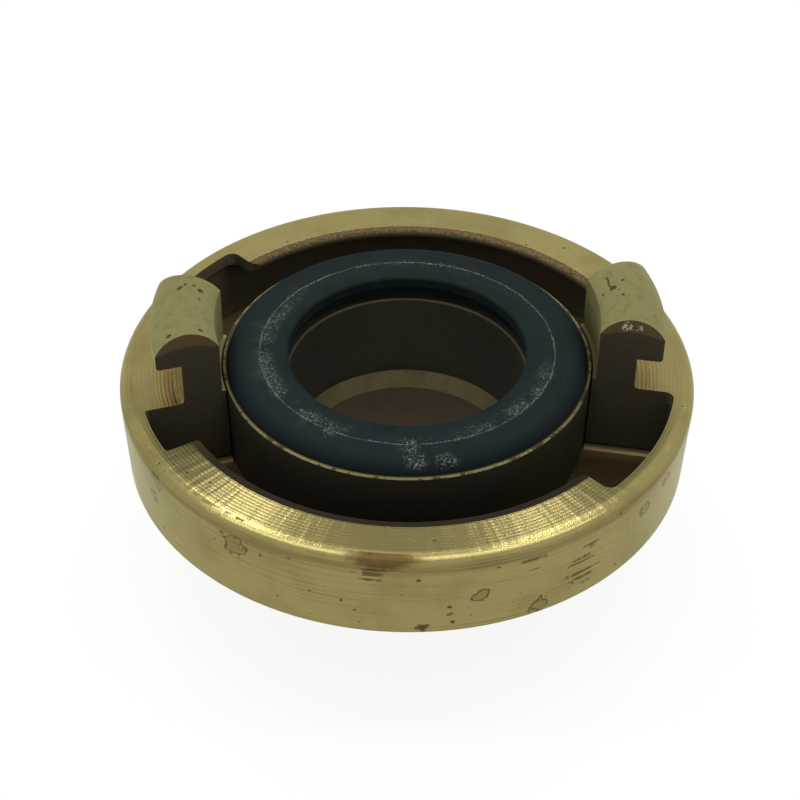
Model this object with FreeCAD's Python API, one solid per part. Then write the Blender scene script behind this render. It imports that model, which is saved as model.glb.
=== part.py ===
import FreeCAD, Part
import math
import os
from FreeCAD import Vector

os.makedirs("parts", exist_ok=True)

# Storz hose coupling half with a threaded tail, in millimetres.
# The swivel axis is Z, and height 0 is the flat face of the lug ring's lip, where two halves meet.
# The mating half comes from +Z, and the tail points to -Z.
# Radii are built outwards and inwards from the lug distance, so that every piece follows it.

# Lug ring: claws
lug_distance = 66.0         # between the inner faces of the two claws
claw_neck = 6.6             # radial thickness of the claw's neck
hook_reach = 4.3            # how far the hook stands out from the neck
claw_start_deg = -9.5       # clockwise end of the first claw, from +X
claw_span_deg = 27.5        # how far each claw reaches round the axis
gap_tight = 6.3             # under the hook at the claw's clockwise end
gap_climb = 1.7             # how much higher it is where the mating lip enters
hook_thickness = 2.9        # hook's side where the gap is highest
crown_rise = 3.0            # height of the crown's arc over its sides
neck_round = 0.8            # fillet between the neck and the lip face
hook_round = 0.7            # worn lower edge of the hook
head_lean_deg = 13.0        # how far the crown's two ends lean back

# Lug ring: lip
lip_play = 0.6              # lip's edge to the neck of the mating claw
lip_edge_round = 0.9        # rounded cast edge of the lip
lip_edge_drop = 0.05        # cast edge below the turned face
lip_edge_width = 1.7        # cast strip inside the turned face
lip_face_width = 8.1        # turned face, out to the widest radius
lip_thickness = 2.5         # what the mating hooks grip behind
lip_taper = 1.5             # slope under the lip, behind its rounded edge

# Lug ring: outer wall and chamber
wall_draft = 0.6            # how much narrower the wall is at the back face
ring_height = 16.6          # from the lip face to the back face
shoulder_round = 2.0        # rounding between the lip face and the outer wall
back_chamfer = 0.6          # bevel round the back face
chamber_wall = 2.8          # wall left outside the chamber, at the shoulder
floor_thickness = 2.2       # floor that carries the stem's shoulder
foot_round = 1.2            # casting radius where walls and blocks meet the floor

# Lug ring: entry recesses in the lip, one long and one short beside each claw
recess_wall = 3.45          # wall left outside a recess, at the shoulder
long_recess_deg = 35.2      # takes the mating claw
short_recess_deg = 14.0     # tool run-out on the other side of the claw
long_recess_round = 1.6     # inside corners of the long recess
short_recess_round = 0.6    # inside corners of the short recess
lip_corner_round = 2.0      # outside corner of the lip at the long recess
lip_corner_bite = 0.06      # how far that rounding runs past the lip's edge

# Stem: seal cup and waterway
ledge_width = 0.65          # ledge of the claw block inside the claw
rim_rise = 1.2              # cup rim and ledge above the lip face
cup_draft = 0.35            # how much narrower the cup is at its shoulder
rim_wall = 0.7              # thickness of the brass rim round the seal
seal_groove_width = 9.0     # radial width of the seal's groove
cup_floor_depth = 6.0       # floor of the seal's groove below the lip face
inner_rim_depth = 1.75      # top of the inner rim below the lip face
inner_rim_wall = 1.65       # thickness of the inner rim
step_depth = 18.4           # where the bore starts to narrow
step_height = 2.5           # length of the conical step
step_width = 2.15           # how much the step narrows the bore
edge_bevel = 0.3            # small bevel on turned edges

# Stem: hub, hexagon and thread
hub_step = 2.75             # shoulder between the cup and the hub
snap_groove_depth = 1.6     # radial depth of the snap ring's groove
hub_collar = 1.6            # collar under the groove
hexagon_step = 4.0          # hub's radius over the hexagon's flats
hexagon_height = 5.0
tail_wall = 5.3             # from the tail's bore to the outside of a G 1 1/2 pipe thread
thread_length = 16.0
relief_depth = 1.7          # run-out groove above the thread
relief_width = 2.0
thread_bevel = 1.4          # lead-in at the tail's end
mouth_flare = 1.0           # bevel inside the tail's end

# Seal
seal_rise = 3.1             # sealing face above the lip face
seal_overhang = 0.05        # seal's mouth inside the waterway
seal_lip = 2.0              # thickness of the inward lip at its edge
seal_undercut = 2.2         # depth of the hollow behind the lip
seal_edge_round = 2.3       # rounded outer edge

# Snap ring
snap_thickness = 2.0
snap_width = 4.2            # radial width opposite the gap
snap_taper = 1.0            # how much narrower it is beside the gap
snap_gap = 7.0              # between the two ears
ear_radius = 2.7
ear_trim = 0.5              # flat towards the gap
ear_hole_radius = 1.2

# Clearances
swivel_clearance = 0.08     # radial, hub in the lug ring
swivel_play = 0.1           # axial, lug ring between the shoulder and the snap ring
claw_clearance = 0.25       # claw block to the stem's cup
seal_clearance = 0.05       # seal in its cup
snap_clearance = 0.05       # snap ring in its groove

# Radii of the lug ring
claw_inner = lug_distance / 2
neck_radius = claw_inner + claw_neck
hook_radius = neck_radius + hook_reach
lip_radius = neck_radius + lip_play
lip_face_radius = lip_radius + lip_edge_width
ring_radius = lip_face_radius + lip_face_width
chamber_radius = ring_radius - chamber_wall
recess_radius = ring_radius - recess_wall
block_inner = claw_inner - ledge_width

# Radii of the stem and the seal
cup_radius = block_inner - claw_clearance
rim_inner = cup_radius - rim_wall
inner_rim_outer = rim_inner - seal_groove_width
waterway_radius = inner_rim_outer - inner_rim_wall
tail_bore_radius = waterway_radius - step_width
thread_radius = tail_bore_radius + tail_wall
relief_radius = thread_radius - relief_depth
hub_radius = cup_radius - cup_draft - hub_step
groove_radius = hub_radius - snap_groove_depth
hexagon_flats = 2 * (hub_radius - hexagon_step)
seal_inner_radius = waterway_radius - seal_overhang

# Levels
gap_open = gap_tight + gap_climb
crown_foot = gap_open + hook_thickness
claw_height = crown_foot + crown_rise
back_z = -ring_height
floor_z = back_z + floor_thickness
shoulder_z = floor_z + swivel_play
groove_top_z = back_z - swivel_play
groove_bottom_z = groove_top_z - snap_thickness - 2 * snap_clearance
collar_bottom_z = groove_bottom_z - hub_collar
hexagon_bottom_z = collar_bottom_z - hexagon_height
tail_z = hexagon_bottom_z - thread_length
step_end_z = -step_depth - step_height


def place(radius, height):
    """Point in the XZ half-plane that every turned outline is drawn in."""
    return Vector(radius, 0, height)


def outline(points):
    """Straight edges through the (radius, height) points, left open."""
    places = [place(*point) for point in points]
    return [Part.LineSegment(a, b).toShape() for a, b in zip(places, places[1:])]


def arc(start, middle, end):
    """Circular edge through three (radius, height) points."""
    return Part.Arc(place(*start), place(*middle), place(*end)).toShape()


def quarter(start, corner, end):
    """Quarter-round edge from start to end that replaces a square corner."""
    share = 1 - math.sqrt(0.5)
    middle = (
        corner[0] + (start[0] + end[0] - 2 * corner[0]) * share,
        corner[1] + (start[1] + end[1] - 2 * corner[1]) * share,
    )
    return arc(start, middle, end)


def swept(edges, start_deg=0.0, span_deg=360.0):
    """Solid that the closed outline sweeps about Z."""
    face = Part.Face(Part.Wire(Part.__sortEdges__(edges)))
    solid = face.revolve(Vector(0, 0, 0), Vector(0, 0, 1), span_deg)
    solid.rotate(Vector(0, 0, 0), Vector(0, 0, 1), start_deg)
    return solid


def turned(points, start_deg=0.0, span_deg=360.0):
    """Solid swept by a closed outline of straight edges."""
    return swept(outline(points + [points[0]]), start_deg, span_deg)


def sector(inner, outer, bottom, top, start_deg, span_deg):
    """Block with curved sides between two radii, two heights and two angles."""
    corners = [(inner, bottom), (outer, bottom), (outer, top), (inner, top)]
    return turned(corners, start_deg, span_deg)


def opposite(shape):
    """The same shape on the other side of the axis."""
    return shape.rotated(Vector(0, 0, 0), Vector(0, 0, 1), 180)


def at_height(edge, height):
    """Whether the edge lies in the level plane at this height."""
    return all(abs(vertex.Z - height) < 1e-4 for vertex in edge.Vertexes)


def axis_distance(vertex):
    """How far the vertex lies from the swivel axis."""
    return math.hypot(vertex.X, vertex.Y)


def circle_radius(edge):
    """Radius of a circular edge, or 0 for any other edge."""
    return edge.Curve.Radius if isinstance(edge.Curve, Part.Circle) else 0.0


def ring_body():
    """Outer wall, lip, chamber and floor, before the recesses and claws."""
    back_radius = ring_radius - wall_draft
    bore = hub_radius + swivel_clearance
    shoulder = ring_radius - shoulder_round
    edge_middle = lip_radius + lip_edge_round
    edge_top = -lip_edge_drop
    edge_bottom = edge_top - 2 * lip_edge_round
    edges = [
        quarter((shoulder, 0), (ring_radius, 0), (ring_radius, -shoulder_round)),
        arc((edge_middle, edge_top), (lip_radius, edge_top - lip_edge_round), (edge_middle, edge_bottom)),
    ]
    edges += outline([(edge_middle, edge_top), (lip_face_radius, 0), (shoulder, 0)])
    edges += outline([
        (ring_radius, -shoulder_round),
        (back_radius, back_z + back_chamfer),
        (back_radius - back_chamfer, back_z),
        (bore, back_z),
        (bore, floor_z),
        (chamber_radius, floor_z),
        (chamber_radius, -lip_thickness),
        (edge_middle + lip_taper, -lip_thickness),
        (edge_middle, edge_bottom),
    ])
    return swept(edges)


def recess(span_deg, end_deg, corner_round):
    """Cutter for one entry recess that ends counter-clockwise at end_deg."""
    inner = lip_radius - 3
    cutter = sector(inner, recess_radius, -lip_thickness - 2, 2, end_deg - span_deg, span_deg)
    corners = [
        edge
        for edge in cutter.Edges
        if abs(edge.Vertexes[0].Z - edge.Vertexes[-1].Z) > 1
        and axis_distance(edge.Vertexes[0]) > inner + 1
    ]
    return cutter.makeFillet(corner_round, corners)


def lip_corner():
    """Cutter that rounds the lip's corner in plan, where the long recess ends."""
    low = -lip_thickness - 2
    height = lip_thickness + 4
    inner = lip_radius - 3
    middle_radius = lip_radius + lip_corner_round - lip_corner_bite
    middle = math.sqrt(middle_radius ** 2 - lip_corner_round ** 2)
    corner = Vector(inner, -lip_corner_round, low)
    block = Part.makeBox(middle - inner, lip_corner_round, height, corner)
    rounding = Part.makeCylinder(lip_corner_round, height, Vector(middle, -lip_corner_round, low))
    cutter = block.cut(rounding)
    return cutter.rotated(Vector(0, 0, 0), Vector(0, 0, 1), claw_start_deg - long_recess_deg)


def hook_gap():
    """Room under the hook, whose roof climbs like a screw from the tight end to the open end."""
    sections = []
    overrun_deg = 3.0
    steps = 4
    slope = (gap_open - gap_tight) / claw_span_deg
    first_deg = claw_start_deg - overrun_deg
    last_deg = claw_start_deg + claw_span_deg + overrun_deg
    for step in range(steps + 1):
        turn_deg = first_deg + (last_deg - first_deg) * step / steps
        roof = gap_tight + slope * (turn_deg - claw_start_deg)
        low = -2.0
        far = hook_radius + 3
        corners = [(neck_radius, low), (far, low), (far, roof), (neck_radius, roof)]
        wire = Part.Wire(outline(corners + [corners[0]]))
        wire.rotate(Vector(0, 0, 0), Vector(0, 0, 1), turn_deg)
        sections.append(wire)
    return Part.makeLoft(sections, True, False)


def head_bevel(end_deg, side):
    """Cutter that leans back one end of the crown: side -1 is the clockwise end, 1 the other."""
    length = hook_radius - claw_inner + 4
    depth = crown_rise + 2
    corner = Vector(claw_inner - 2, min(side, 0) * depth, 0)
    cutter = Part.makeBox(length, depth, 2 * depth, corner)
    cutter.rotate(Vector(0, 0, 0), Vector(1, 0, 0), side * head_lean_deg)
    cutter.translate(Vector(0, 0, crown_foot))
    return cutter.rotated(Vector(0, 0, 0), Vector(0, 0, 1), end_deg)


def claw():
    """Neck, hook and crowned head of one claw, above the lip face."""
    root = -1.0
    crown_middle = (claw_inner + hook_radius) / 2
    edges = [arc((claw_inner, crown_foot), (crown_middle, claw_height), (hook_radius, crown_foot))]
    edges += outline([
        (hook_radius, crown_foot),
        (hook_radius, root),
        (claw_inner, root),
        (claw_inner, crown_foot),
    ])
    claw_end_deg = claw_start_deg + claw_span_deg
    blank = swept(edges, claw_start_deg, claw_span_deg)
    hooked = blank.cut([hook_gap(), head_bevel(claw_start_deg, -1), head_bevel(claw_end_deg, 1)])
    # The lower outer edge of the hook follows the climbing roof of the gap.
    hook_edge = [
        edge
        for edge in hooked.Edges
        if edge.Length > hook_radius * math.radians(claw_span_deg) / 2
        and all(abs(axis_distance(vertex) - hook_radius) < 0.01 for vertex in edge.Vertexes)
        and max(vertex.Z for vertex in edge.Vertexes) < gap_open + 0.1
    ]
    return hooked.makeFillet(hook_round, hook_edge)


def claw_block():
    """Solid foot of one claw, from the chamber floor to the lip, with the ledge beside the cup rim."""
    low = floor_z - 0.5
    inside_wall = chamber_radius + 0.5
    inside_lip = lip_face_radius + 1
    corners = [
        (block_inner - cup_draft, low),
        (inside_wall, low),
        (inside_wall, -lip_thickness / 2),
        (inside_lip, -lip_thickness / 2),
        (inside_lip, 0),
        (claw_inner + 1, 0),
        (claw_inner + 1, rim_rise),
        (block_inner, rim_rise),
    ]
    return turned(corners, claw_start_deg, claw_span_deg)


def lug_ring():
    """The whole lug ring."""
    long_cut = recess(long_recess_deg, claw_start_deg, long_recess_round)
    claw_end_deg = claw_start_deg + claw_span_deg
    short_cut = recess(short_recess_deg, claw_end_deg + short_recess_deg, short_recess_round)
    cuts = [long_cut, short_cut, lip_corner()]
    body = ring_body().cut(cuts + [opposite(cut) for cut in cuts])
    foot = claw_block()
    hook = claw()
    body = body.fuse([foot, hook, opposite(foot), opposite(hook)]).removeSplitter()
    neck_roots = [
        edge
        for edge in body.Edges
        if at_height(edge, 0)
        and edge.Length > neck_radius * math.radians(claw_span_deg) / 2
        and all(abs(axis_distance(vertex) - neck_radius) < 0.01 for vertex in edge.Vertexes)
    ]
    body = body.makeFillet(neck_round, neck_roots)
    chamber_foot = [
        edge
        for edge in body.Edges
        if at_height(edge, floor_z)
        and axis_distance(edge.Vertexes[0]) > hub_radius + 1
        and abs(circle_radius(edge) - block_inner + cup_draft) > 0.5
    ]
    return body.makeFillet(foot_round, chamber_foot)


def hexagon():
    """Wrench hexagon under the collar, with its lower corners turned off."""
    corner = hexagon_flats / math.sqrt(3)
    turns = [math.radians(60 * step) for step in range(7)]
    corners = [Vector(corner * math.cos(t), corner * math.sin(t), hexagon_bottom_z) for t in turns]
    height = collar_bottom_z - hexagon_bottom_z
    prism = Part.Face(Part.makePolygon(corners)).extrude(Vector(0, 0, height))
    flat_radius = hexagon_flats / 2
    drop = (hub_radius - flat_radius) * math.tan(math.radians(30))
    blank = turned([
        (0, collar_bottom_z),
        (hub_radius, collar_bottom_z),
        (hub_radius, hexagon_bottom_z + drop),
        (flat_radius, hexagon_bottom_z),
        (0, hexagon_bottom_z),
    ])
    return prism.common(blank)


def stem():
    """Seal cup, hub, collar and threaded tail with the stepped waterway."""
    bottom_radius = cup_radius - cup_draft
    outside = turned([
        (0, rim_rise),
        (cup_radius - edge_bevel / 2, rim_rise),
        (cup_radius, rim_rise - edge_bevel / 2),
        (bottom_radius, shoulder_z + edge_bevel),
        (bottom_radius - edge_bevel, shoulder_z),
        (hub_radius, shoulder_z),
        (hub_radius, groove_top_z),
        (groove_radius, groove_top_z),
        (groove_radius, groove_bottom_z),
        (hub_radius, groove_bottom_z),
        (hub_radius, collar_bottom_z),
        (relief_radius, collar_bottom_z),
        (relief_radius, hexagon_bottom_z - relief_width),
        (thread_radius, hexagon_bottom_z - relief_width - thread_radius + relief_radius),
        (thread_radius, tail_z + thread_bevel),
        (thread_radius - thread_bevel, tail_z),
        (0, tail_z),
    ])
    inside = turned([
        (0, rim_rise + 1),
        (rim_inner, rim_rise + 1),
        (rim_inner, -cup_floor_depth),
        (inner_rim_outer, -cup_floor_depth),
        (inner_rim_outer, -inner_rim_depth),
        (waterway_radius + edge_bevel, -inner_rim_depth),
        (waterway_radius, -inner_rim_depth - edge_bevel),
        (waterway_radius, -step_depth),
        (tail_bore_radius, step_end_z),
        (tail_bore_radius, tail_z + mouth_flare),
        (tail_bore_radius + 2 * mouth_flare, tail_z - mouth_flare),
        (0, tail_z - mouth_flare),
    ])
    return outside.fuse(hexagon()).cut(inside).removeSplitter()


def seal():
    """Rubber lip seal: a foot in the cup and an inward lip over the waterway."""
    outer = rim_inner - seal_clearance
    inner = inner_rim_outer + seal_clearance
    lip_under = seal_rise - seal_lip
    edges = [
        quarter(
            (outer, seal_rise - seal_edge_round),
            (outer, seal_rise),
            (outer - seal_edge_round, seal_rise),
        ),
    ]
    edges += outline([
        (outer - seal_edge_round, seal_rise),
        (seal_inner_radius + edge_bevel, seal_rise),
        (seal_inner_radius, seal_rise - edge_bevel),
        (seal_inner_radius, lip_under),
        (seal_inner_radius + seal_undercut, lip_under - seal_undercut * 0.7),
        (inner, -inner_rim_depth),
        (inner, -cup_floor_depth),
        (outer, -cup_floor_depth),
        (outer, seal_rise - seal_edge_round),
    ])
    return swept(edges)


def snap_ring():
    """Spring ring in the hub's groove, widest opposite its gap, with two eared ends."""
    inner = groove_radius + snap_clearance
    outer = inner + snap_width - snap_taper / 2
    low = groove_bottom_z + snap_clearance
    level = Vector(0, 0, low)
    up = Vector(0, 0, 1)
    # The outer circle sits off the axis, so the ring narrows towards the gap at -Y.
    disc = Part.makeCylinder(outer, snap_thickness, Vector(0, snap_taper / 2, low), up)
    ear_y = -(inner + ear_radius + 0.3)
    # The slot trims each ear flat on the side that faces the gap.
    ear_x = snap_gap / 2 + ear_radius - ear_trim
    for side in (-1, 1):
        disc = disc.fuse(Part.makeCylinder(ear_radius, snap_thickness, Vector(side * ear_x, ear_y, low), up))
    ring = disc.cut(Part.makeCylinder(inner, snap_thickness, level, up))
    slot = Part.makeBox(snap_gap, outer, snap_thickness, Vector(-snap_gap / 2, -outer - 2 * ear_radius, low))
    ring = ring.cut(slot)
    for side in (-1, 1):
        ring = ring.cut(Part.makeCylinder(ear_hole_radius, snap_thickness, Vector(side * ear_x, ear_y, low), up))
    return ring.removeSplitter()


pieces = {
    "lug_ring": lug_ring(),
    "stem": stem(),
    "seal": seal(),
    "snap_ring": snap_ring(),
}
for name, shape in pieces.items():
    solids = shape.Solids
    print(name, "solids", len(solids), "valid", shape.isValid(), "volume", round(shape.Volume, 1))
    solids[0].exportStep("parts/" + name + ".step")
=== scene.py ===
"""Looks of a brass hose coupling half: lug ring, threaded stem, rubber seal and snap ring.

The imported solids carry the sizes. This script gives each of them its finish, cuts the pipe thread
into the tail and sets up the studio. Places are metres in the object's own frame, with the swivel
axis on Z. The finishes work in millimetres, and by radius, height and angle round that axis.
"""

import logging
import math
from collections.abc import Iterator
from contextlib import contextmanager
from dataclasses import dataclass
from enum import Enum
from typing import Protocol, Union

import bpy
from mathutils import Matrix, Vector


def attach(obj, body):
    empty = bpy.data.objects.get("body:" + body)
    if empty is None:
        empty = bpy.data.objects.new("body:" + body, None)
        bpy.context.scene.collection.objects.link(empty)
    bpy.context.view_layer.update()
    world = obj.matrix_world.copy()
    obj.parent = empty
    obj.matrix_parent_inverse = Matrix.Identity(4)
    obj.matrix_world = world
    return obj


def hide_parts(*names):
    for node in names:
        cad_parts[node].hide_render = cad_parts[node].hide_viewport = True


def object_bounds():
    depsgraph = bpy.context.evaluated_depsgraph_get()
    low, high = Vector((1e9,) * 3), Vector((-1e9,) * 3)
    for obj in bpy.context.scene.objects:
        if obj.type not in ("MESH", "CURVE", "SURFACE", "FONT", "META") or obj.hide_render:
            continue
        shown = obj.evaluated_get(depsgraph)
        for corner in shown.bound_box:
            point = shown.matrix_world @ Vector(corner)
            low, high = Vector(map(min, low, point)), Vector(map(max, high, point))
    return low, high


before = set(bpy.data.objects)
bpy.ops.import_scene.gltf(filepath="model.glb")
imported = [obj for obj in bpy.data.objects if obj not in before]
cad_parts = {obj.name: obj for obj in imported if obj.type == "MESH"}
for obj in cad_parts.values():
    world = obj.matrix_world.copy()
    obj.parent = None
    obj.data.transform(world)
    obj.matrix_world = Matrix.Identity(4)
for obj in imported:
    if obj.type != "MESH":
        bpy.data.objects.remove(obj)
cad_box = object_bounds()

log = logging.getLogger("coupling")

MM = 0.001

Colour = tuple[float, float, float, float]


def display(red: float, green: float, blue: float) -> Colour:
    """Turns a colour as it looks on a display into the linear colour that a shader takes.

    Args:
        red: Display value from 0 to 255, as are green and blue.
        green: Display value.
        blue: Display value.

    Returns:
        Linear red, green, blue and an alpha of 1.
    """

    def linear(value: float) -> float:
        """One channel."""
        share = value / 255
        return share / 12.92 if share <= 0.04045 else ((share + 0.055) / 1.055) ** 2.4

    return linear(red), linear(green), linear(blue), 1.0


class Body(Enum):
    """The bodies of the coupling that turn against each other."""

    TAIL = "tail"
    RING = "coupling_ring"


@dataclass(frozen=True)
class Field:
    """A value that varies over a surface, with the usual signs for arithmetic."""

    graph: "Graph"
    socket: bpy.types.NodeSocket

    def __add__(self, other: "Value") -> "Field":
        """Sum."""
        return self.graph.calc("ADD", self, other)

    def __sub__(self, other: "Value") -> "Field":
        """Difference."""
        return self.graph.calc("SUBTRACT", self, other)

    def __radd__(self, other: "Value") -> "Field":
        """Sum with a number."""
        return self.graph.calc("ADD", other, self)

    def __rsub__(self, other: "Value") -> "Field":
        """Difference from a number."""
        return self.graph.calc("SUBTRACT", other, self)

    def __mul__(self, other: "Value") -> "Field":
        """Product."""
        return self.graph.calc("MULTIPLY", self, other)

    def __truediv__(self, other: "Value") -> "Field":
        """Quotient."""
        return self.graph.calc("DIVIDE", self, other)

    def __or__(self, other: "Value") -> "Field":
        """Either of two masks."""
        return self.graph.calc("MAXIMUM", self, other)

    def __abs__(self) -> "Field":
        """Distance from zero."""
        return self.graph.calc("ABSOLUTE", self)

    def over(self, low: float, high: float) -> "Field":
        """Mask that rises smoothly from 0 at low to 1 at high."""
        return self.graph.rise(self, low, high)

    def under(self, low: float, high: float) -> "Field":
        """Mask that falls smoothly from 1 at low to 0 at high."""
        return 1 - self.graph.rise(self, low, high)

    def near(self, middle: float, reach: float) -> "Field":
        """Mask that is 1 at middle and fades to 0 at reach from it."""
        return abs(self - middle).under(0, reach)


Value = Union[Field, float]


class Graph:
    """A node tree, with short calls for the nodes that the finishes use."""

    def __init__(self, name: str, world: bpy.types.World | None = None) -> None:
        """Starts an empty tree.

        Args:
            name: Name of the new material.
            world: A world whose tree is used in place of a new material's.
        """
        self.material = world or bpy.data.materials.new(name)
        self.material.use_nodes = True
        self.tree = self.material.node_tree
        self.tree.nodes.clear()

    def node(self, kind: str, **settings: object) -> bpy.types.Node:
        """Adds a node.

        Args:
            kind: The node's type after "ShaderNode".
            settings: Properties to set on it.

        Returns:
            The new node.
        """
        made = self.tree.nodes.new("ShaderNode" + kind)
        for key, value in settings.items():
            setattr(made, key, value)
        return made

    def feed(self, socket: bpy.types.NodeSocket, value: object) -> None:
        """Gives a socket its input.

        Args:
            socket: The input socket.
            value: A field or a socket to link to it, or a constant to set on it.
        """
        if isinstance(value, Field):
            value = value.socket
        if isinstance(value, bpy.types.NodeSocket):
            self.tree.links.new(value, socket)
        else:
            socket.default_value = value

    def calc(self, operation: str, *values: Value) -> Field:
        """Adds a Math node.

        Args:
            operation: Name of the Math operation.
            values: Its inputs in order.

        Returns:
            The result.
        """
        made = self.node("Math", operation=operation)
        for socket, value in zip(made.inputs, values):
            self.feed(socket, value)
        return Field(self, made.outputs[0])

    def parts(self, vector: Field) -> tuple[Field, Field, Field]:
        """Splits a vector.

        Args:
            vector: The vector.

        Returns:
            Its x, y and z.
        """
        made = self.node("SeparateXYZ")
        self.feed(made.inputs[0], vector)
        return tuple(Field(self, socket) for socket in made.outputs)

    def joined(self, x: Value, y: Value, z: Value) -> Field:
        """Joins three values into a vector.

        Args:
            x: First value.
            y: Second value.
            z: Third value.

        Returns:
            The vector.
        """
        made = self.node("CombineXYZ")
        for socket, value in zip(made.inputs, (x, y, z)):
            self.feed(socket, value)
        return Field(self, made.outputs[0])

    def rise(self, value: Field, low: float, high: float) -> Field:
        """Makes a mask from a value.

        Args:
            value: The value.
            low: Where the mask leaves 0.
            high: Where it reaches 1.

        Returns:
            The mask, with a smooth rise.
        """
        made = self.node("MapRange", interpolation_type="SMOOTHSTEP")
        for name, setting in (("Value", value), ("From Min", low), ("From Max", high)):
            self.feed(made.inputs[name], setting)
        return Field(self, made.outputs["Result"])

    def noise(self, place: Field, scale: float, detail: float = 3.0, rough: float = 0.55) -> Field:
        """Soft random pattern from 0 to 1, most of it near 0.5.

        Args:
            place: Coordinates.
            scale: Bumps in one unit of them.
            detail: Finer layers added.
            rough: Share of the finer layers.

        Returns:
            The pattern.
        """
        made = self.node("TexNoise")
        for name, value in (("Vector", place), ("Scale", scale), ("Detail", detail), ("Roughness", rough)):
            self.feed(made.inputs[name], value)
        return Field(self, made.outputs["Fac"])

    def tint(self, mask: Value, base: object, over: object) -> bpy.types.NodeSocket:
        """Lays one colour over another.

        Args:
            mask: Where the upper colour shows.
            base: Lower colour.
            over: Upper colour.

        Returns:
            The mixed colour.
        """
        made = self.node("Mix", data_type="RGBA")
        self.feed(made.inputs["Factor"], mask)
        self.feed(made.inputs[6], base)
        self.feed(made.inputs[7], over)
        return made.outputs[2]

    def lighten(self, colour: bpy.types.NodeSocket, amount: Value) -> bpy.types.NodeSocket:
        """Makes a colour lighter or darker.

        Args:
            colour: The colour.
            amount: Number that it is multiplied by.

        Returns:
            The changed colour.
        """
        made = self.node("VectorMath", operation="SCALE")
        self.feed(made.inputs[0], colour)
        self.feed(made.inputs["Scale"], amount)
        return made.outputs[0]

    def relief(self, height: Field) -> bpy.types.NodeSocket:
        """Turns a height into a bump.

        Args:
            height: The relief's height, in millimetres.

        Returns:
            The normal for a shader.
        """
        made = self.node("Bump")
        made.inputs["Strength"].default_value = 1.0
        made.inputs["Distance"].default_value = MM
        self.feed(made.inputs["Height"], height)
        return made.outputs[0]

    def mixed(self, share: Value, first: bpy.types.Node, second: bpy.types.Node) -> bpy.types.Node:
        """Mixes two shaders.

        Args:
            share: Share of the second.
            first: First shader.
            second: Second shader.

        Returns:
            The mixed shader.
        """
        made = self.node("MixShader")
        self.feed(made.inputs["Fac"], share)
        self.feed(made.inputs[1], first.outputs[0])
        self.feed(made.inputs[2], second.outputs[0])
        return made

    def show(self, shader: bpy.types.Node) -> None:
        """Sends a shader to the tree's output."""
        kind = "OutputWorld" if isinstance(self.material, bpy.types.World) else "OutputMaterial"
        self.feed(self.node(kind).inputs["Surface"], shader.outputs[0])

    def plain_view(self) -> Field:
        """Tells rays that form a picture from soft light.

        Returns:
            Mask that is 1 for a ray from the camera, in a reflection or through glass.
        """
        rays = self.node("LightPath").outputs
        seen = self.calc("MAXIMUM", rays["Is Camera Ray"], rays["Is Glossy Ray"])
        return self.calc("MAXIMUM", seen, rays["Is Transmission Ray"])

    def up_of_ray(self) -> Field:
        """How far up a ray from the object goes, from -1 to 1."""
        return self.parts(Field(self, self.node("TexCoord").outputs["Generated"]))[2]


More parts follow.
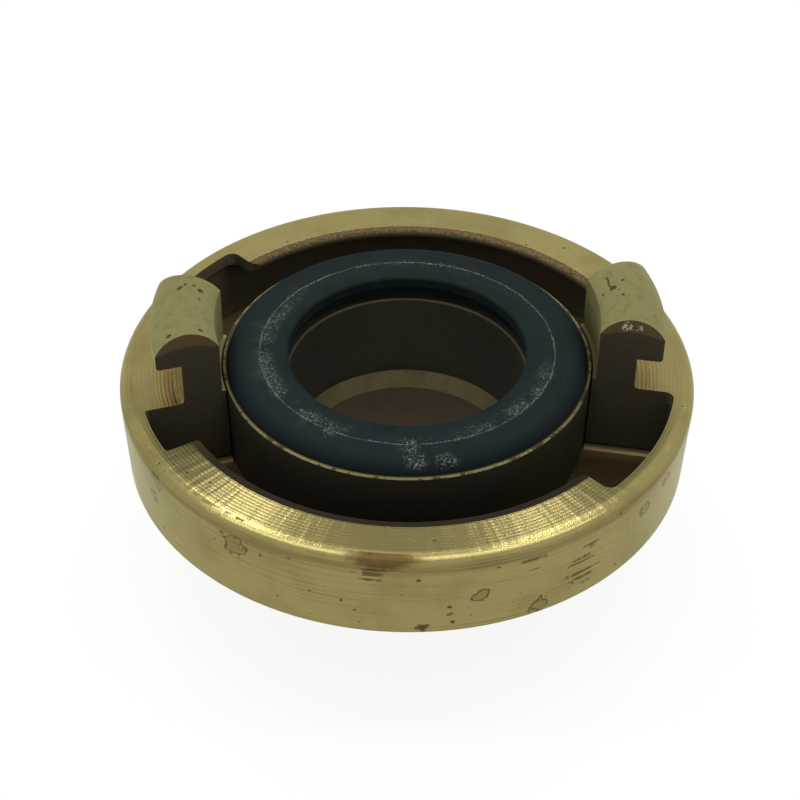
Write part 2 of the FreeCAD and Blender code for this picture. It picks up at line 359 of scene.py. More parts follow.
class Surface(Graph):
    """The material of a surface, with its radius, height and directions in millimetres round Z."""

    def __init__(self, name: str) -> None:
        """Starts an empty material.

        Args:
            name: The material's name.
        """
        super().__init__(name)
        coordinates = self.node("TexCoord")
        scaled = self.node("VectorMath", operation="SCALE")
        self.feed(scaled.inputs[0], coordinates.outputs["Object"])
        scaled.inputs["Scale"].default_value = 1 / MM
        self.place = Field(self, scaled.outputs[0])
        self.x, self.y, self.z = self.parts(self.place)
        normal_x, normal_y, self.up = self.parts(Field(self, coordinates.outputs["Normal"]))
        self.radius = self.calc("SQRT", self.x * self.x + self.y * self.y)
        self.east = self.x / self.radius
        self.north = self.y / self.radius
        self.around = abs(normal_y * self.east - normal_x * self.north)

    def toward(self, heading: tuple[float, float]) -> Field:
        """How far a place lies to one side of the axis, from -1 to 1."""
        return self.east * heading[0] + self.north * heading[1]

    def lathe_place(self, per_round: float, across: float) -> Field:
        """Coordinates that stretch a pattern along the turning lines, with no seam.

        Args:
            per_round: Pattern units in one radius of the way round the axis.
            across: Pattern units in a millimetre across the lines.

        Returns:
            The vector for a noise or cell pattern.
        """
        line = (self.radius - self.z) * across
        return self.joined(self.east * per_round, self.north * per_round, line)

    def pits(self, scale: float, size: float, share: float) -> Field:
        """Round marks strewn at random.

        Args:
            scale: Cells in a millimetre.
            size: A mark's radius as a share of a cell.
            share: Share of the cells that have a mark.

        Returns:
            Mask that is 1 in a mark's middle.
        """
        ragged = self.node("VectorMath", operation="ADD")
        wander = self.node("TexNoise")
        self.feed(wander.inputs["Vector"], self.place)
        wander.inputs["Scale"].default_value = scale * 4
        self.feed(ragged.inputs[0], self.place)
        self.feed(ragged.inputs[1], wander.outputs["Color"])
        cells = self.node("TexVoronoi")
        self.feed(cells.inputs["Vector"], ragged.outputs[0])
        cells.inputs["Scale"].default_value = scale
        chosen = self.parts(Field(self, cells.outputs["Color"]))[0]
        dots = Field(self, cells.outputs["Distance"]).under(size * 0.4, size)
        return dots * chosen.under(share, share + 0.01)

    def from_point(self, point: Vector, ragged: float, wander: Field) -> Field:
        """Distance from a point on the object, in millimetres, with a ragged edge.

        Args:
            point: The point, in millimetres.
            ragged: How far the edge wanders.
            wander: Pattern that it wanders by.

        Returns:
            The distance.
        """
        made = self.node("VectorMath", operation="DISTANCE")
        self.feed(made.inputs[0], self.place)
        made.inputs[1].default_value = point
        return Field(self, made.outputs["Value"]) + (wander - 0.5) * ragged

    def finish(self, **inputs: object) -> bpy.types.Material:
        """Adds the surface shader.

        Args:
            inputs: Values for its inputs, by their names in lower case with _ for a space.

        Returns:
            The finished material.
        """
        shader = self.node("BsdfPrincipled")
        for key, value in inputs.items():
            name = " ".join(word.upper() if word == "ior" else word.capitalize() for word in key.split("_"))
            self.feed(shader.inputs[name], value)
        self.show(shader)
        return self.material

    def grain_direction(self) -> bpy.types.NodeSocket:
        """Direction of the turning lines, round the axis."""
        return self.node("Tangent", direction_type="RADIAL", axis="Z").outputs[0]


@dataclass(frozen=True)
class Mark:
    """A stain, pit or scuff at one place of the lug ring, by angle, height, reach and radius."""

    turn_deg: float
    height: float
    reach: float
    radius: float = 49.8

    def point(self) -> Vector:
        """Its middle, in millimetres."""
        turn = math.radians(self.turn_deg)
        return Vector((self.radius * math.cos(turn), self.radius * math.sin(turn), self.height))


@dataclass(frozen=True)
class RingFaces:
    """Masks of the lug ring's faces, by place and by how each was made."""

    lip: Field
    wall: Field
    lathe: Field
    claw: Field
    worked: Field
    machined: Field
    coppery: Field
    shaded_inner_side: Field
    head: Field
    front: Field
    fresh: Field


@dataclass(frozen=True)
class RingPatterns:
    """Random patterns of the lug ring, from broad clouds to the grooves of the lathe."""

    cloud: Field
    grain: Field
    smudge: Field
    streak: Field
    band: Field
    wear: Field
    wander: Field
    chatter: Field
    groove: Field


@dataclass(frozen=True)
class RingBrass:
    """Lug ring: turned lip and wall, worn claws, and dark cast metal inside."""

    turned: Colour = display(147, 136, 87)
    worn: Colour = display(136, 131, 88)
    olive: Colour = display(124, 115, 70)
    cast: Colour = display(60, 54, 41)
    scale: Colour = display(94, 76, 50)
    # Lip's inner edge: a dark cast colour with painted shade at the front, and a lighter copy with painted
    # light for the back.
    lip_edge: Colour = display(32, 27, 18)
    lip_edge_lit: Colour = display(106, 88, 58)
    chamber_wall_light: Colour = display(92, 84, 66)
    bright: Colour = display(196, 184, 170)
    fillet_highlight: Colour = display(132, 113, 78)
    umber: Colour = display(90, 72, 40)
    grazing: Colour = display(243, 243, 222)
    # Painted shade: a darker olive for the flat lip on the side towards the camera.
    front_lip_shade: Colour = display(107, 100, 64)
    copper: Colour = display(152, 98, 52)
    tarnish: Colour = display(80, 61, 34)
    pit: Colour = display(66, 52, 26)
    groove_pitch: float = 0.68
    groove_depth: float = 0.1
    lip_inner: float = 41.9
    lip_edge_drop: float = 0.025
    hook_radius: float = 43.9
    crown_middle: float = 38.45
    head_foot: float = 11.5
    claw_inner: float = 33.6
    wall_inner: float = 47.7
    claw_foot: float = 0.02
    neck_radius: float = 39.6
    claw_reach_y: float = 15.5
    chamber_floor: float = -14.4
    block_ends_deg: tuple[float, float] = (-9.5, 18.0)
    back: float = -16.5
    shoulder_foot: float = -1.9
    tarnish_spot: tuple[float, float, float] = (-3.5, -48.7, -0.4)
    stains: tuple[Mark, ...] = (
        Mark(-123.0, -4.6, 1.9),
        Mark(-145.0, -3.0, 1.3),
        Mark(-147.0, -7.5, 1.0),
        Mark(-75.8, -8.6, 1.1),
        Mark(-64.0, -14.4, 1.4),
        Mark(-38.0, -6.0, 1.2),
        Mark(-30.0, -4.0, 1.0),
        Mark(40.0, -9.0, 1.6),
        Mark(85.0, -5.0, 1.2),
        Mark(128.0, -11.0, 1.8),
    )
    spots: tuple[Mark, ...] = (
        Mark(-86.5, -14.9, 0.9),
        Mark(-81.6, -10.4, 0.35),
        Mark(-81.2, -12.2, 0.5),
        Mark(-81.0, -14.0, 0.45),
        Mark(-101.5, -9.6, 0.4),
        Mark(-99.0, -11.4, 0.35),
        Mark(177.1, 13.9, 0.75, 39.0),
        Mark(175.6, 13.8, 0.35, 38.3),
        Mark(175.4, 13.6, 0.3, 36.8),
        Mark(176.6, 13.3, 0.45, 35.7),
        Mark(178.3, 13.5, 0.25, 36.4),
        Mark(180.5, 13.2, 0.4, 35.5),
        Mark(195.4, 13.4, 0.55, 41.0),
        Mark(194.6, 13.3, 0.4, 35.7),
        Mark(7.4, 13.2, 0.6, 35.6),
        Mark(5.6, 13.4, 0.4, 36.3),
        Mark(7.0, 12.0, 0.5, 33.9),
        Mark(3.3, 13.7, 0.45, 36.8),
        Mark(-140.0, 0.0, 0.4, 46.3),
        Mark(-134.5, 0.0, 0.3, 45.0),
    )
    scratch: Mark = Mark(10.2, 13.05, 1.9, 35.25)
    rubs: tuple[Mark, ...] = (
        Mark(-54.8, -9.6, 3.2),
        Mark(-53.0, -4.4, 1.6),
        Mark(-66.0, -3.6, 1.8),
        Mark(-96.0, -2.4, 2.2),
        Mark(60.0, -8.0, 3.0),
        Mark(150.0, -6.0, 2.6),
    )
    scuffs: tuple[Mark, ...] = (
        Mark(-8.9, 13.0, 0.9, 37.4),
        Mark(-9.1, 12.5, 0.6, 39.5),
    )

    def faces(self, graph: Surface) -> RingFaces:
        """Tells the faces apart by place and slope.

        Args:
            graph: The material's tree.

        Returns:
            The masks.
        """
        radius, height, reach = graph.radius, graph.z, self.claw_reach_y
        beside_claws = abs(graph.y).under(reach - 0.5, reach + 0.1)
        level = abs(height).under(self.lip_edge_drop, self.lip_edge_drop + 0.02) * graph.up.over(0.5, 0.9)
        level = level * (beside_claws | radius.over(self.lip_inner + 0.2, self.lip_inner + 0.7))
        rounded = radius.over(self.lip_inner, self.lip_inner + 0.1) * abs(height).under(0.3, 0.6)
        lip = level | rounded * graph.up.over(0.2, 0.5)
        wall = radius.over(self.wall_inner, self.wall_inner + 0.15)
        rear = height.under(self.back - 0.05, self.back + 0.05)
        lathe = lip | wall | rear
        claw = height.over(self.claw_foot, self.claw_foot + 0.04)
        ends = graph.around.over(0.55, 0.75)
        worked = claw * (1 - ends)
        neck = worked * radius.near(self.neck_radius, 0.9) * height.under(6.0, 8.5)
        sheltered = abs(graph.y).under(reach - 1, reach) * lip
        sheltered = sheltered * radius.under(self.hook_radius - 1.5, self.hook_radius)
        shaded_inner_side = worked * radius.under(self.claw_inner, self.claw_inner + 0.7)
        from_middle = radius - self.crown_middle
        bevelled = height + from_middle * from_middle * 0.04
        fresh = graph.y.under(-5.0, 15.0) * 0.7 + 0.3
        fresh = fresh * (1 - abs(graph.y).under(12.0, 18.0) * radius.over(43.0, 45.0) * 0.8)
        return RingFaces(
            lip=lip,
            wall=wall,
            lathe=lathe,
            claw=claw,
            worked=worked,
            machined=lathe | worked,
            coppery=neck | sheltered,
            shaded_inner_side=shaded_inner_side * height.under(2.0, 11.0) * graph.x.over(0.0, 5.0),
            head=ends * graph.up.over(0.1, 0.18) * bevelled.over(self.head_foot, self.head_foot + 0.5),
            front=graph.y.under(-30.0, -5.0),
            fresh=fresh * radius.under(47.4, 48.2),
        )

    def patterns(self, graph: Surface) -> RingPatterns:
        """Makes the random patterns.

        Args:
            graph: The material's tree.

        Returns:
            The patterns.
        """
        cloud = graph.noise(graph.place, 0.1, 3.0, 0.5)
        return RingPatterns(
            cloud=cloud,
            grain=graph.noise(graph.place, 2.2, 5.0, 0.65),
            smudge=graph.noise(graph.place, 0.5, 4.0, 0.6),
            streak=graph.noise(graph.lathe_place(2.5, 5.0), 1.0, 4.0, 0.6),
            band=graph.noise(graph.lathe_place(1.2, 1.6), 1.0, 3.0, 0.6),
            wear=graph.noise(graph.lathe_place(4.0, 3.0), 1.0, 4.0, 0.65),
            wander=graph.noise(graph.place, 0.7, 2.0, 0.5),
            chatter=graph.noise(graph.lathe_place(24.0, 0.05), 1.0, 2.0, 0.6),
            groove=graph.calc("FRACT", graph.radius / self.groove_pitch + (cloud - 0.5) * 0.4),
        )

    def bare(self, graph: Surface, faces: RingFaces, patterns: RingPatterns) -> bpy.types.NodeSocket:
        """Colours the brass that was turned or milled.

        Args:
            graph: The material's tree.
            faces: Masks of the faces.
            patterns: Random patterns.

        Returns:
            The colour, still without pits and stains.
        """
        height, lip, wall = graph.z, faces.lip, faces.wall
        smudge, streak = patterns.smudge, patterns.streak
        colour = graph.tint(patterns.cloud.over(0.4, 0.75) * 0.7, self.turned, self.olive)
        colour = graph.tint(streak.over(0.54, 0.72) * (0.3 + wall * 0.3), colour, self.umber)
        banded = wall * patterns.band.over(0.55, 0.7) * height.under(-6.0, -3.0)
        colour = graph.tint(banded * 0.4, colour, self.olive)
        # Painted shade: the flat lip on the side towards the camera is darkened.
        colour = graph.tint(lip * faces.front * graph.radius.under(47.2, 48.0) * 0.9, colour, self.front_lip_shade)
        # Painted shade: the bottoms of the turning grooves are darkened with umber.
        colour = graph.tint(lip * faces.fresh * patterns.groove.over(0.65, 0.95) * 0.55, colour, self.umber)
        # Painted reflection: a dark band under the shoulder, where the rounding mirrors a dark horizon,
        # broken up by the streaks.
        below = wall * height.near(self.shoulder_foot, 1.5) * streak.over(0.3, 0.6)
        colour = graph.tint(below * 0.6, colour, self.umber)
        handled = graph.tint(smudge.over(0.45, 0.7) * 0.6, self.worn, self.olive)
        colour = graph.tint(faces.claw, colour, handled)
        worn = faces.worked * patterns.wear.over(0.58, 0.66) * smudge.over(0.45, 0.6)
        colour = graph.tint(worn * 0.5, colour, self.umber)
        # Painted shade: the lower inner side of the right claw is darkened to the cast colour.
        colour = graph.tint(faces.shaded_inner_side * 0.7, colour, self.cast)
        return graph.tint(faces.coppery * streak.over(0.45, 0.58) * 0.7, colour, self.copper)

    def rough(self, graph: Surface, faces: RingFaces, patterns: RingPatterns) -> bpy.types.NodeSocket:
        """Colours what was left as cast: the chamber, the lip's inner edge and the claws' ends.

        Args:
            graph: The material's tree.
            faces: Masks of the faces.
            patterns: Random patterns.

        Returns:
            The colour.
        """
        radius, height, up, grain = graph.radius, graph.z, graph.up, patterns.grain
        colour = graph.tint(grain.over(0.45, 0.75) * 0.25, self.cast, self.scale)
        floor = height.under(self.chamber_floor + 0.02, self.chamber_floor + 0.2)
        colour = graph.tint(floor, colour, self.scale)
        # Painted highlight: light strips on the chamber floor beside the ends of the claws' blocks.
        strips = floor * self.beside_blocks(graph)
        colour = graph.tint(strips * (0.3 + patterns.smudge * 0.8), colour, self.fillet_highlight)
        # Painted highlight: the upward-facing foot round the chamber wall.
        foot = height.under(self.chamber_floor + 1.3, self.chamber_floor + 1.8)
        foot = foot * graph.around.over(0.15, 0.35)
        colour = graph.tint(foot * up.over(0.2, 0.35), colour, self.fillet_highlight)
        # Painted light: the chamber's outer wall gets a lighter colour, standing in for light that barely
        # reaches under the lip.
        colour = graph.tint(radius.over(45.6, 46.2) * up.under(0.2, 0.5), colour, self.chamber_wall_light)
        # Painted light and shade: the lip's rounded inner edge is lighter at the back and darker at the
        # front, with grain mixing in the dark colour.
        edge = up.over(0.2, 1.0) * height.over(-3.0, -2.6)
        dull = faces.front | grain.over(0.4, 0.62) * 0.75
        colour = graph.tint(edge, colour, graph.tint(dull, self.lip_edge_lit, self.lip_edge))
        colour = graph.tint(faces.head * (0.45 + grain * 0.7), colour, self.scale)
        scuffed = self.filled(graph, self.scuffs, patterns.wander) * faces.head * grain.over(0.46, 0.52)
        return graph.tint(scuffed * 0.8, colour, self.bright)

    def relief(self, faces: RingFaces, patterns: RingPatterns, pitted: Field) -> Field:
        """Adds up the fine relief.

        Args:
            faces: Masks of the faces.
            patterns: Random patterns.
            pitted: Mask of the pits.

        Returns:
            The height of grooves, chatter, grain and pits, in millimetres.
        """
        groove = patterns.groove
        height = faces.lip * faces.fresh * (1 - groove * groove) * self.groove_depth
        height = height + patterns.streak * 0.02 * faces.lathe + patterns.chatter * 0.065 * faces.lip
        height = height + patterns.grain * 0.05 * (1 - faces.machined) + patterns.smudge * 0.03 * faces.claw
        return height - pitted * 0.06 * faces.machined

    def material(self) -> bpy.types.Material:
        """Builds the material.

        Returns:
            The lug ring's material.
        """
        graph = Surface("lug_ring_brass")
        faces, patterns = self.faces(graph), self.patterns(graph)
        wander = patterns.wander
        pitted = graph.pits(0.4, 0.18, 0.1) | graph.pits(0.9, 0.2, 0.05)
        pits = pitted | self.filled(graph, self.spots, wander) | self.scratched(graph, wander)
        stains = self.edged(graph, wander) * faces.wall
        rubbed = self.filled(graph, self.rubs, wander) * faces.wall * patterns.band.over(0.5, 0.54)
        spot = graph.from_point(Vector(self.tarnish_spot), 4.0, wander)
        spot = spot + abs(graph.z - self.tarnish_spot[2]) * 3.0
        tarnished = spot.under(3.5, 8.5) * graph.radius.over(47.6, 48.2)

        colour = graph.tint(tarnished * 0.85, self.bare(graph, faces, patterns), self.tarnish)
        colour = graph.tint((pits | stains | rubbed) * 0.8, colour, self.pit)
        colour = graph.tint(faces.machined, self.rough(graph, faces, patterns), colour)
        return graph.finish(
            base_color=graph.lighten(colour, 0.92 + patterns.grain * 0.16),
            metallic=faces.machined * 0.2 + 0.8,
            specular_tint=self.grazing,
            roughness=0.6 - faces.lathe * 0.33 - faces.worked * 0.12 + pits * 0.2 + tarnished * 0.2,
            anisotropic=0.8,
            anisotropic_rotation=0.25,
            tangent=graph.grain_direction(),
            normal=graph.relief(self.relief(faces, patterns, pitted)),
        )

    def beside_blocks(self, graph: Surface) -> Field:
        """Finds the floor along the ends of the claws' blocks.

        Args:
            graph: The material's tree.

        Returns:
            Mask of strips a few millimetres wide.
        """
        strips = graph.x * 0
        for turn_deg in self.block_ends_deg:
            turn = math.radians(turn_deg)
            away = abs(graph.y * math.cos(turn) - graph.x * math.sin(turn))
            strips = strips | away.under(1.6, 3.6)
        return strips

    def scratched(self, graph: Surface, wander: Field) -> Field:
        """Scratches the right claw's crown along the turning lines."""
        along = graph.from_point(self.scratch.point(), 0.6, wander).under(1.5, self.scratch.reach)
        return along * (graph.radius + (wander - 0.5) * 0.9).near(self.scratch.radius, 0.3)

    def edged(self, graph: Surface, wander: Field) -> Field:
        """Joins the stains: each a thin dark edge round a faint middle.

        Args:
            graph: The material's tree.
            wander: Pattern that their edges wander by.

        Returns:
            Their mask.
        """
        marks = wander * 0
        for stain in self.stains:
            away = graph.from_point(stain.point(), stain.reach * 2.4, wander)
            marks = marks | away.near(stain.reach, 0.45) | away.under(stain.reach * 0.6, stain.reach) * 0.35
        return marks

    def filled(self, graph: Surface, marks: tuple[Mark, ...], wander: Field) -> Field:
        """Joins marks that are solid to their ragged edge.

        Args:
            graph: The material's tree.
            marks: The marks.
            wander: Pattern that their edges wander by.

        Returns:
            Their mask.
        """
        mask = wander * 0
        for mark in marks:
            away = graph.from_point(mark.point(), mark.reach * 2.5, wander)
            mask = mask | away.under(mark.reach * 0.6, mark.reach * 1.2)
        return mask


@dataclass(frozen=True)
class StemBrass:
    """Stem outside and round the seal: dull turned brass with grime."""

    turned: Colour = display(146, 134, 86)
    olive: Colour = display(124, 114, 70)
    umber: Colour = display(84, 64, 40)
    grime: Colour = display(50, 44, 30)
    rubbed: Colour = display(114, 106, 70)
    rim_foot: float = 0.2
    rim_inner: float = 31.6

    def material(self) -> bpy.types.Material:
        """Builds the material.

        Returns:
            The stem's material.
        """
        graph = Surface("stem_brass")
        cloud = graph.noise(graph.place, 0.15, 4.0, 0.6)
        grain = graph.noise(graph.place, 2.5, 5.0, 0.65)
        streak = graph.noise(graph.lathe_place(3.0, 6.0), 1.0, 4.0, 0.6)
        colour = graph.tint(cloud.over(0.35, 0.7), self.turned, self.olive)
        colour = graph.tint(streak.over(0.52, 0.7) * 0.6, colour, self.umber)
        pits = graph.pits(0.5, 0.2, 0.12)
        rim = graph.z.over(self.rim_foot, self.rim_foot + 0.1)
        patches = graph.noise(graph.place, 0.4, 4.0, 0.65).over(0.48, 0.56)
        dirty = rim * (patches | graph.radius.under(self.rim_inner, self.rim_inner + 0.12))
        colour = graph.tint(rim, colour, self.rubbed)
        colour = graph.tint(pits * 0.6 | dirty * 0.85, colour, self.grime)
        return graph.finish(
            base_color=colour,
            metallic=1.0,
            roughness=0.38 + grain * 0.08 + dirty * 0.15,
            anisotropic=0.6,
            anisotropic_rotation=0.25,
            tangent=graph.grain_direction(),
            normal=graph.relief(streak * 0.025 + grain * 0.01 - pits * 0.04),
        )


@dataclass(frozen=True)
class WaterStained:
    """Stem in the waterway and round the cup: brass gone nearly black, browner past the step."""

    dark: Colour = display(53, 52, 39)
    brown: Colour = display(80, 68, 48)
    band: Colour = display(96, 89, 60)
    scale: Colour = display(84, 74, 50)
    bore_radius: float = 21.0
    mouth_edge: float = 20.95
    mouth_top: float = -1.9
    step_top: float = -18.3
    step_foot: float = -20.9

    def material(self) -> bpy.types.Material:
        """Builds the material.

        Returns:
            The material of the stem's wetted faces.
        """
        graph = Surface("stem_water_stained")
        bore = graph.radius.under(self.bore_radius, self.bore_radius + 0.2)
        grain = graph.noise(graph.place, 2.6, 5.0, 0.7)
        cloud = graph.noise(graph.place, 0.25, 4.0, 0.6)
        lower = bore * graph.z.under(self.step_foot - 0.1, self.step_foot + 0.1)
        step = bore * graph.z.under(self.step_top - 0.1, self.step_top + 0.1) * (1 - lower)
        colour = graph.tint(grain.over(0.5, 0.75) * 0.35, self.dark, self.scale)
        mouth = graph.z.over(self.mouth_top, self.mouth_top + 0.05)
        mouth = mouth * graph.radius.under(self.mouth_edge, self.mouth_edge + 0.1)
        colour = graph.tint(mouth * grain.over(0.35, 0.55) * 0.7, colour, self.band)
        colour = graph.tint(lower, colour, graph.tint(cloud.over(0.45, 0.7) * 0.3, self.brown, self.dark))
        # Painted light: the step in the bore, whose ledge faces up, gets the lighter band colour mixed with
        # scale.
        colour = graph.tint(step, colour, graph.tint(cloud.over(0.45, 0.6) * 0.6, self.band, self.scale))
        return graph.finish(
            base_color=colour,
            metallic=0.75,
            roughness=0.55 + grain * 0.15,
            normal=graph.relief(grain * 0.05 + cloud * 0.05),
        )


@dataclass(frozen=True)
class SealRubber:
    """Seal: matt slate-black rubber with a pale scuffed ring where it was pressed."""

    rubber: Colour = display(24, 33, 33)
    deep: Colour = display(20, 27, 27)
    edge: Colour = display(20, 27, 28)
    dust: Colour = display(150, 162, 158)
    ring_radius: float = 25.6
    dusty_side: tuple[float, float] = (-0.97, -0.26)
    dusty_corner: tuple[float, float] = (0.77, -0.64)
    face_height: float = 3.0
    scuffed: tuple[tuple[float, float, float], ...] = (
        (0.5, -26.0, 2.3),
        (1.5, -29.5, 2.8),
        (6.5, -29.3, 2.4),
        (-12.5, -22.6, 2.0),
    )

    def dusty(self, graph: Surface) -> Field:
        """Finds where most of the dust lies.

        Args:
            graph: The material's tree.

        Returns:
            Mask that is 1 on the left and inside the line at the lower right, and low elsewhere.
        """
        inside = graph.radius.under(self.ring_radius, self.ring_radius + 0.6)
        corner = graph.toward(self.dusty_corner).over(0.8, 0.95) * inside
        return (graph.toward(self.dusty_side).over(0.45, 0.85) | corner) * 0.85 + 0.15

    def scuffs(self, graph: Surface, wander: Field) -> Field:
        """Joins the scuffed places.

        Args:
            graph: The material's tree.
            wander: Pattern that their edges wander by.

        Returns:
            Their mask.
        """
        pressed = wander * 0
        for x, y, reach in self.scuffed:
            away = graph.from_point(Vector((x, y, self.face_height)), reach, wander)
            pressed = pressed | away.under(reach * 0.3, reach)
        return pressed

    def material(self) -> bpy.types.Material:
        """Builds the material.

        Returns:
            The seal's material.
        """
        graph = Surface("seal_rubber")
        cloud = graph.noise(graph.place, 0.2, 4.0, 0.65)
        grain = graph.noise(graph.place, 5.0, 4.0, 0.6)
        speck = graph.noise(graph.place, 2.3, 4.0, 0.8)
        wander = graph.noise(graph.place, 0.35, 3.0, 0.6)
        scratch = graph.noise(graph.lathe_place(14.0, 7.0), 1.0, 3.0, 0.6)
        ring = graph.radius + (wander - 0.5) * 0.7
        dusty = self.dusty(graph)
        line = ring.near(self.ring_radius, 0.24) * speck.over(0.42, 0.54)
        line = line * (cloud.over(0.35, 0.55) * 0.6 + 0.4)
        stipple = ring.near(self.ring_radius - 0.9, 2.2) * speck.over(0.51, 0.6)
        stipple = stipple * cloud.over(0.36, 0.58) * dusty
        spatter = ring.near(self.ring_radius, 1.1) * speck.over(0.55, 0.62) * graph.north.over(0.88, 0.97)
        fine = ring.near(self.ring_radius, 5.0) * scratch.over(0.66, 0.74) * cloud.over(0.5, 0.6)
        scuffs = self.scuffs(graph, wander) * speck.over(0.5, 0.6)
        marks = (line * 0.36) | (stipple * 0.36) | (spatter * 0.3) | (scuffs * 0.35) | (fine * 0.3)
        haze = ring.near(self.ring_radius, 4.5) * cloud.over(0.4, 0.7) * dusty

        colour = graph.tint(cloud.over(0.35, 0.65), self.rubber, self.deep)
        colour = graph.tint(graph.radius.over(28.0, 30.5) * 0.8, colour, self.edge)
        colour = graph.lighten(colour, 0.7 + grain * 0.35 + scratch * 0.25)
        colour = graph.tint((marks | haze * 0.06) * graph.up.over(0.3, 0.8), colour, self.dust)
        return graph.finish(
            base_color=colour,
            roughness=0.8 + marks * 0.15,
            specular_ior_level=0.05,
            normal=graph.relief(grain * 0.012 + scratch * 0.02 + speck * marks * 0.06),
        )


@dataclass(frozen=True)
class SpringSteel:
    """Snap ring: dark blued spring steel, ground on its flat sides."""

    steel: Colour = display(92, 92, 96)
    blued: Colour = display(58, 60, 68)
    rust: Colour = display(104, 72, 48)

    def material(self) -> bpy.types.Material:
        """Builds the material.

        Returns:
            The snap ring's material.
        """
        graph = Surface("spring_steel")
        cloud = graph.noise(graph.place, 0.3, 4.0, 0.6)
        streak = graph.noise(graph.lathe_place(3.0, 7.0), 1.0, 4.0, 0.6)
        colour = graph.tint(cloud.over(0.35, 0.65), self.steel, self.blued)
        colour = graph.tint(graph.noise(graph.place, 0.9, 5.0, 0.7).over(0.62, 0.72) * 0.6, colour, self.rust)
        return graph.finish(
            base_color=colour,
            metallic=0.9,
            roughness=0.4 + cloud * 0.15,
            normal=graph.relief(streak * 0.015),
        )


def deselect() -> None:
    """Clears the selection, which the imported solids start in."""
    if bpy.context.object and bpy.context.object.mode != "OBJECT":
        bpy.ops.object.mode_set(mode="OBJECT")
    bpy.ops.object.select_all(action="DESELECT")


def activate(piece: bpy.types.Object) -> None:
    """Selects one piece alone and makes it the active one.

    Args:
        piece: The piece.
    """
    deselect()
    piece.select_set(True)
    bpy.context.view_layer.objects.active = piece


@contextmanager
def editing(piece: bpy.types.Object, whole: bool = True) -> Iterator[None]:
    """Opens a piece in edit mode and closes it again.

    Args:
        piece: The piece.
        whole: Whether all of it is selected, or only what is marked on its mesh.

    Yields:
        Nothing; operators in between act on the piece.
    """
    activate(piece)
    bpy.ops.object.mode_set(mode="EDIT")
    if whole:
        bpy.ops.mesh.select_all(action="SELECT")
    yield
    bpy.ops.object.mode_set(mode="OBJECT")


def apply(piece: bpy.types.Object, kind: str, **settings: object) -> None:
    """Adds a modifier to a piece and applies it.

    Args:
        piece: The piece.
        kind: The modifier's type.
        settings: Properties to set on it.
    """
    activate(piece)
    modifier = piece.modifiers.new(kind.lower(), kind)
    for key, value in settings.items():
        setattr(modifier, key, value)
    bpy.ops.object.modifier_apply(modifier=modifier.name)


def dress(piece: bpy.types.Object, material: bpy.types.Material) -> None:
    """Gives a piece one material in place of what it has."""
    piece.data.materials.clear()
    piece.data.materials.append(material)


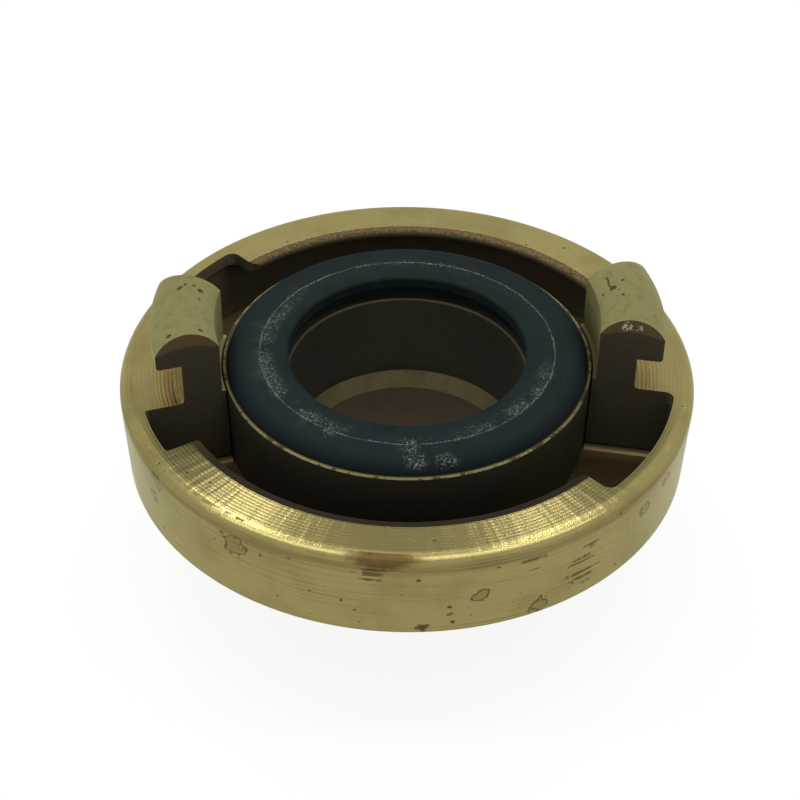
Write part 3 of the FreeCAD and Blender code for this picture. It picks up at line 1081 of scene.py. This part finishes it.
@dataclass
class Stem:
    """Centre piece with the waterway, the hexagon and the tail with its pipe thread."""

    body: Body = Body.TAIL
    node: str = "stem"
    slot: str = "stem_brass"
    pitch: float = 2.309 * MM
    root_radius: float = 22.42 * MM
    cutter_radius: float = 24.05 * MM
    root_flat: float = 0.45 * MM
    flank_deg: float = 27.5
    thread_top: float = -26.7 * MM
    turns: int = 7
    steps_per_turn: int = 96
    crease_deg: float = 32.0
    bore_radius: float = 21.2 * MM
    mouth_radius: float = 22.6 * MM
    mouth_foot: float = -3.0 * MM
    cup_wall_radius: float = 30.5 * MM
    rim_foot: float = 0.4 * MM
    hub_top: float = -16.9 * MM
    level: float = 0.9

    def thread_cutter(self) -> bpy.types.Object:
        """Makes the helical V-groove that is cut from the tail.

        Returns:
            The closed cutter, which starts below the tail and ends in the run-out groove.
        """
        depth = self.cutter_radius - self.root_radius
        middle = (self.root_radius + depth / 2, 0, self.thread_top - self.turns * self.pitch)
        mouth = self.root_flat + 2 * depth * math.tan(math.radians(self.flank_deg))
        deselect()
        bpy.ops.mesh.primitive_plane_add(size=1, location=middle, rotation=(math.pi / 2, 0, 0))
        cutter = bpy.context.object
        cutter.name = "thread_cutter"
        bpy.ops.object.transform_apply(location=True, rotation=True, scale=True)
        with editing(cutter):
            bpy.ops.transform.resize(value=(depth, 1, self.root_flat), center_override=middle)
        for vertex in cutter.data.vertices:
            vertex.select = vertex.co.x > middle[0]
        with editing(cutter, whole=False):
            bpy.ops.transform.resize(value=(1, 1, mouth / self.root_flat), center_override=middle)
            bpy.ops.mesh.select_all(action="SELECT")
            bpy.ops.mesh.delete(type="ONLY_FACE")
        apply(
            cutter,
            "SCREW",
            axis="Z",
            angle=math.tau,
            screw_offset=self.pitch,
            iterations=self.turns,
            steps=self.steps_per_turn,
            render_steps=self.steps_per_turn,
            use_smooth_shade=False,
        )
        with editing(cutter):
            bpy.ops.mesh.fill_holes(sides=4)
            bpy.ops.mesh.normals_make_consistent(inside=False)
        return cutter

    def build(self) -> bpy.types.Object:
        """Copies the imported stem, joins its triangles and cuts the thread.

        Returns:
            The threaded stem.
        """
        deselect()
        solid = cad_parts[self.node]
        stem = bpy.data.objects.new("threaded_stem", solid.data.copy())
        bpy.context.scene.collection.objects.link(stem)
        activate(stem)
        bpy.ops.mesh.customdata_custom_splitnormals_clear()
        with editing(stem):
            bpy.ops.mesh.remove_doubles(threshold=0.001 * MM)
        cutter = self.thread_cutter()
        apply(stem, "BOOLEAN", operation="DIFFERENCE", solver="EXACT", object=cutter)
        bpy.data.objects.remove(cutter)
        activate(stem)
        bpy.ops.object.shade_smooth_by_angle(angle=math.radians(self.crease_deg))
        return stem

    def dress(self, stem: bpy.types.Object) -> None:
        """Gives the stem its finish and its place on the body.

        Args:
            stem: The threaded stem.
        """
        dress(stem, StemBrass().material())
        stem.data.materials.append(WaterStained().material())
        for face in stem.data.polygons:
            radius = face.center.xy.length
            in_bore = radius < self.bore_radius and abs(face.normal.z) < self.level
            on_mouth = radius < self.mouth_radius and face.center.z > self.mouth_foot
            round_cup = radius > self.cup_wall_radius and self.hub_top < face.center.z < self.rim_foot
            face.material_index = int(in_bore or on_mouth or round_cup)
        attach(stem, self.body.value)
        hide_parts(self.node)


class Finish(Protocol):
    """Anything that can build a material."""

    def material(self) -> bpy.types.Material:
        """Builds the material."""


@dataclass
class PackedPiece:
    """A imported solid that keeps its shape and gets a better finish."""

    node: str
    body: Body
    finish: Finish

    def dress(self) -> None:
        """Puts the finish on the solid."""
        dress(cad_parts[self.node], self.finish.material())
        log.info("%s dressed, on body %s", self.node, self.body.value)


@dataclass
class Studio:
    """Camera at the photograph's viewpoint, pale floor, white surroundings and soft lamps."""

    lens: float = 83.82
    sensor: float = 36.0
    eye: tuple[float, float, float] = (0.0, -0.25520, 0.20197)
    pitch: float = 0.690079
    roll: float = 0.010171
    yaw: float = 0.004601
    floor_size: float = 6.0
    floor_white: float = 0.9
    paper: Colour = display(245, 245, 245)
    horizon: float = 0.4
    sky_gain: float = 0.4
    fan_lamp_watts: tuple[float, float] = (1.9, 1.15)
    fan_lamp_width: tuple[float, float] = (0.17, 0.075)
    fan_lamp_side: tuple[float, float] = (-0.305, 0.24)
    fan_lamp_depth: float = 0.11
    fan_lamp_back: float = 0.49
    fan_lamp_height: float = 0.93
    top_lamp_watts: float = 7.4
    top_lamp_width: float = 1.9
    top_lamp_depth: float = 0.14
    top_lamp_front: float = 0.05
    top_lamp_height: float = 1.0

    def camera(self) -> None:
        """Sets the camera up."""
        data = bpy.data.cameras.new("camera")
        data.lens = self.lens
        data.sensor_width = self.sensor
        data.clip_start = 0.01
        camera = bpy.data.objects.new("camera", data)
        turn = Matrix.Rotation(self.yaw, 4, "Z") @ Matrix.Rotation(math.pi / 2 - self.pitch, 4, "X")
        camera.matrix_world = Matrix.Translation(self.eye) @ turn @ Matrix.Rotation(self.roll, 4, "Z")
        bpy.context.scene.collection.objects.link(camera)
        bpy.context.scene.camera = camera

    def floor(self) -> None:
        """Lays the pale floor under the tail. It is white from above and clear from below."""
        deselect()
        bpy.ops.mesh.primitive_plane_add(size=self.floor_size, location=(0, 0, cad_box[0].z))
        floor = bpy.context.object
        floor.name = "floor"
        graph = Graph("pale_floor")
        seen = graph.plain_view()
        paper = graph.node("BsdfDiffuse")
        graph.feed(paper.inputs["Color"], self.paper)
        white = graph.node("Emission")
        lit = graph.mixed(seen * self.floor_white, paper, white)
        side = graph.node("NewGeometry").outputs["Backfacing"]
        graph.show(graph.mixed(side, lit, graph.node("BsdfTransparent")))
        dress(floor, graph.material)

    def surround(self) -> None:
        """Makes the world white to the camera and in the brass, and a soft sky for other light."""
        world = bpy.data.worlds.new("surroundings")
        bpy.context.scene.world = world
        world.use_nodes = True
        graph = Graph("surroundings", world)
        sky = graph.node("Background")
        graph.feed(sky.inputs["Strength"], self.horizon + graph.up_of_ray().over(0.1, 0.6) * self.sky_gain)
        white = graph.node("Background")
        for background in (sky, white):
            graph.feed(background.inputs["Color"], (1.0, 1.0, 1.0, 1.0))
        graph.show(graph.mixed(graph.plain_view(), sky, white))

    def lamp(self, name: str, place: Vector, width: float, depth: float, watts: float) -> None:
        """Adds a rectangular lamp that points at the object.

        Args:
            name: The lamp's name.
            place: Where it hangs.
            width: Its size across the view.
            depth: Its size along the view.
            watts: Its power.
        """
        data = bpy.data.lights.new(name, "AREA")
        data.shape = "RECTANGLE"
        data.size = width
        data.size_y = depth
        data.energy = watts
        lamp = bpy.data.objects.new(name, data)
        lamp.location = place
        lamp.rotation_euler = place.to_track_quat("Z", "Y").to_euler()
        bpy.context.scene.collection.objects.link(lamp)

    def build(self) -> None:
        """Sets up the whole studio."""
        self.camera()
        self.floor()
        self.surround()
        sizes = zip(self.fan_lamp_side, self.fan_lamp_width, self.fan_lamp_watts)
        for name, (side, width, watts) in zip(("left_lamp", "right_lamp"), sizes):
            place = Vector((side, self.fan_lamp_back, self.fan_lamp_height))
            self.lamp(name, place, width, self.fan_lamp_depth, watts)
        overhead = Vector((0.0, -self.top_lamp_front, self.top_lamp_height))
        self.lamp("overhead_lamp", overhead, self.top_lamp_width, self.top_lamp_depth, self.top_lamp_watts)
        bpy.context.scene.view_settings.view_transform = "Standard"
        log.info("studio ready")


def main() -> None:
    """Builds and dresses the pieces in order, then the studio."""
    logging.basicConfig(level=logging.INFO, format="%(name)s: %(message)s")
    PackedPiece("lug_ring", Body.RING, RingBrass()).dress()
    PackedPiece("seal", Body.TAIL, SealRubber()).dress()
    PackedPiece("snap_ring", Body.TAIL, SpringSteel()).dress()
    stem = Stem()
    stem.dress(stem.build())
    log.info("stem threaded and dressed")
    Studio().build()


if __name__ == "__main__":
    main()
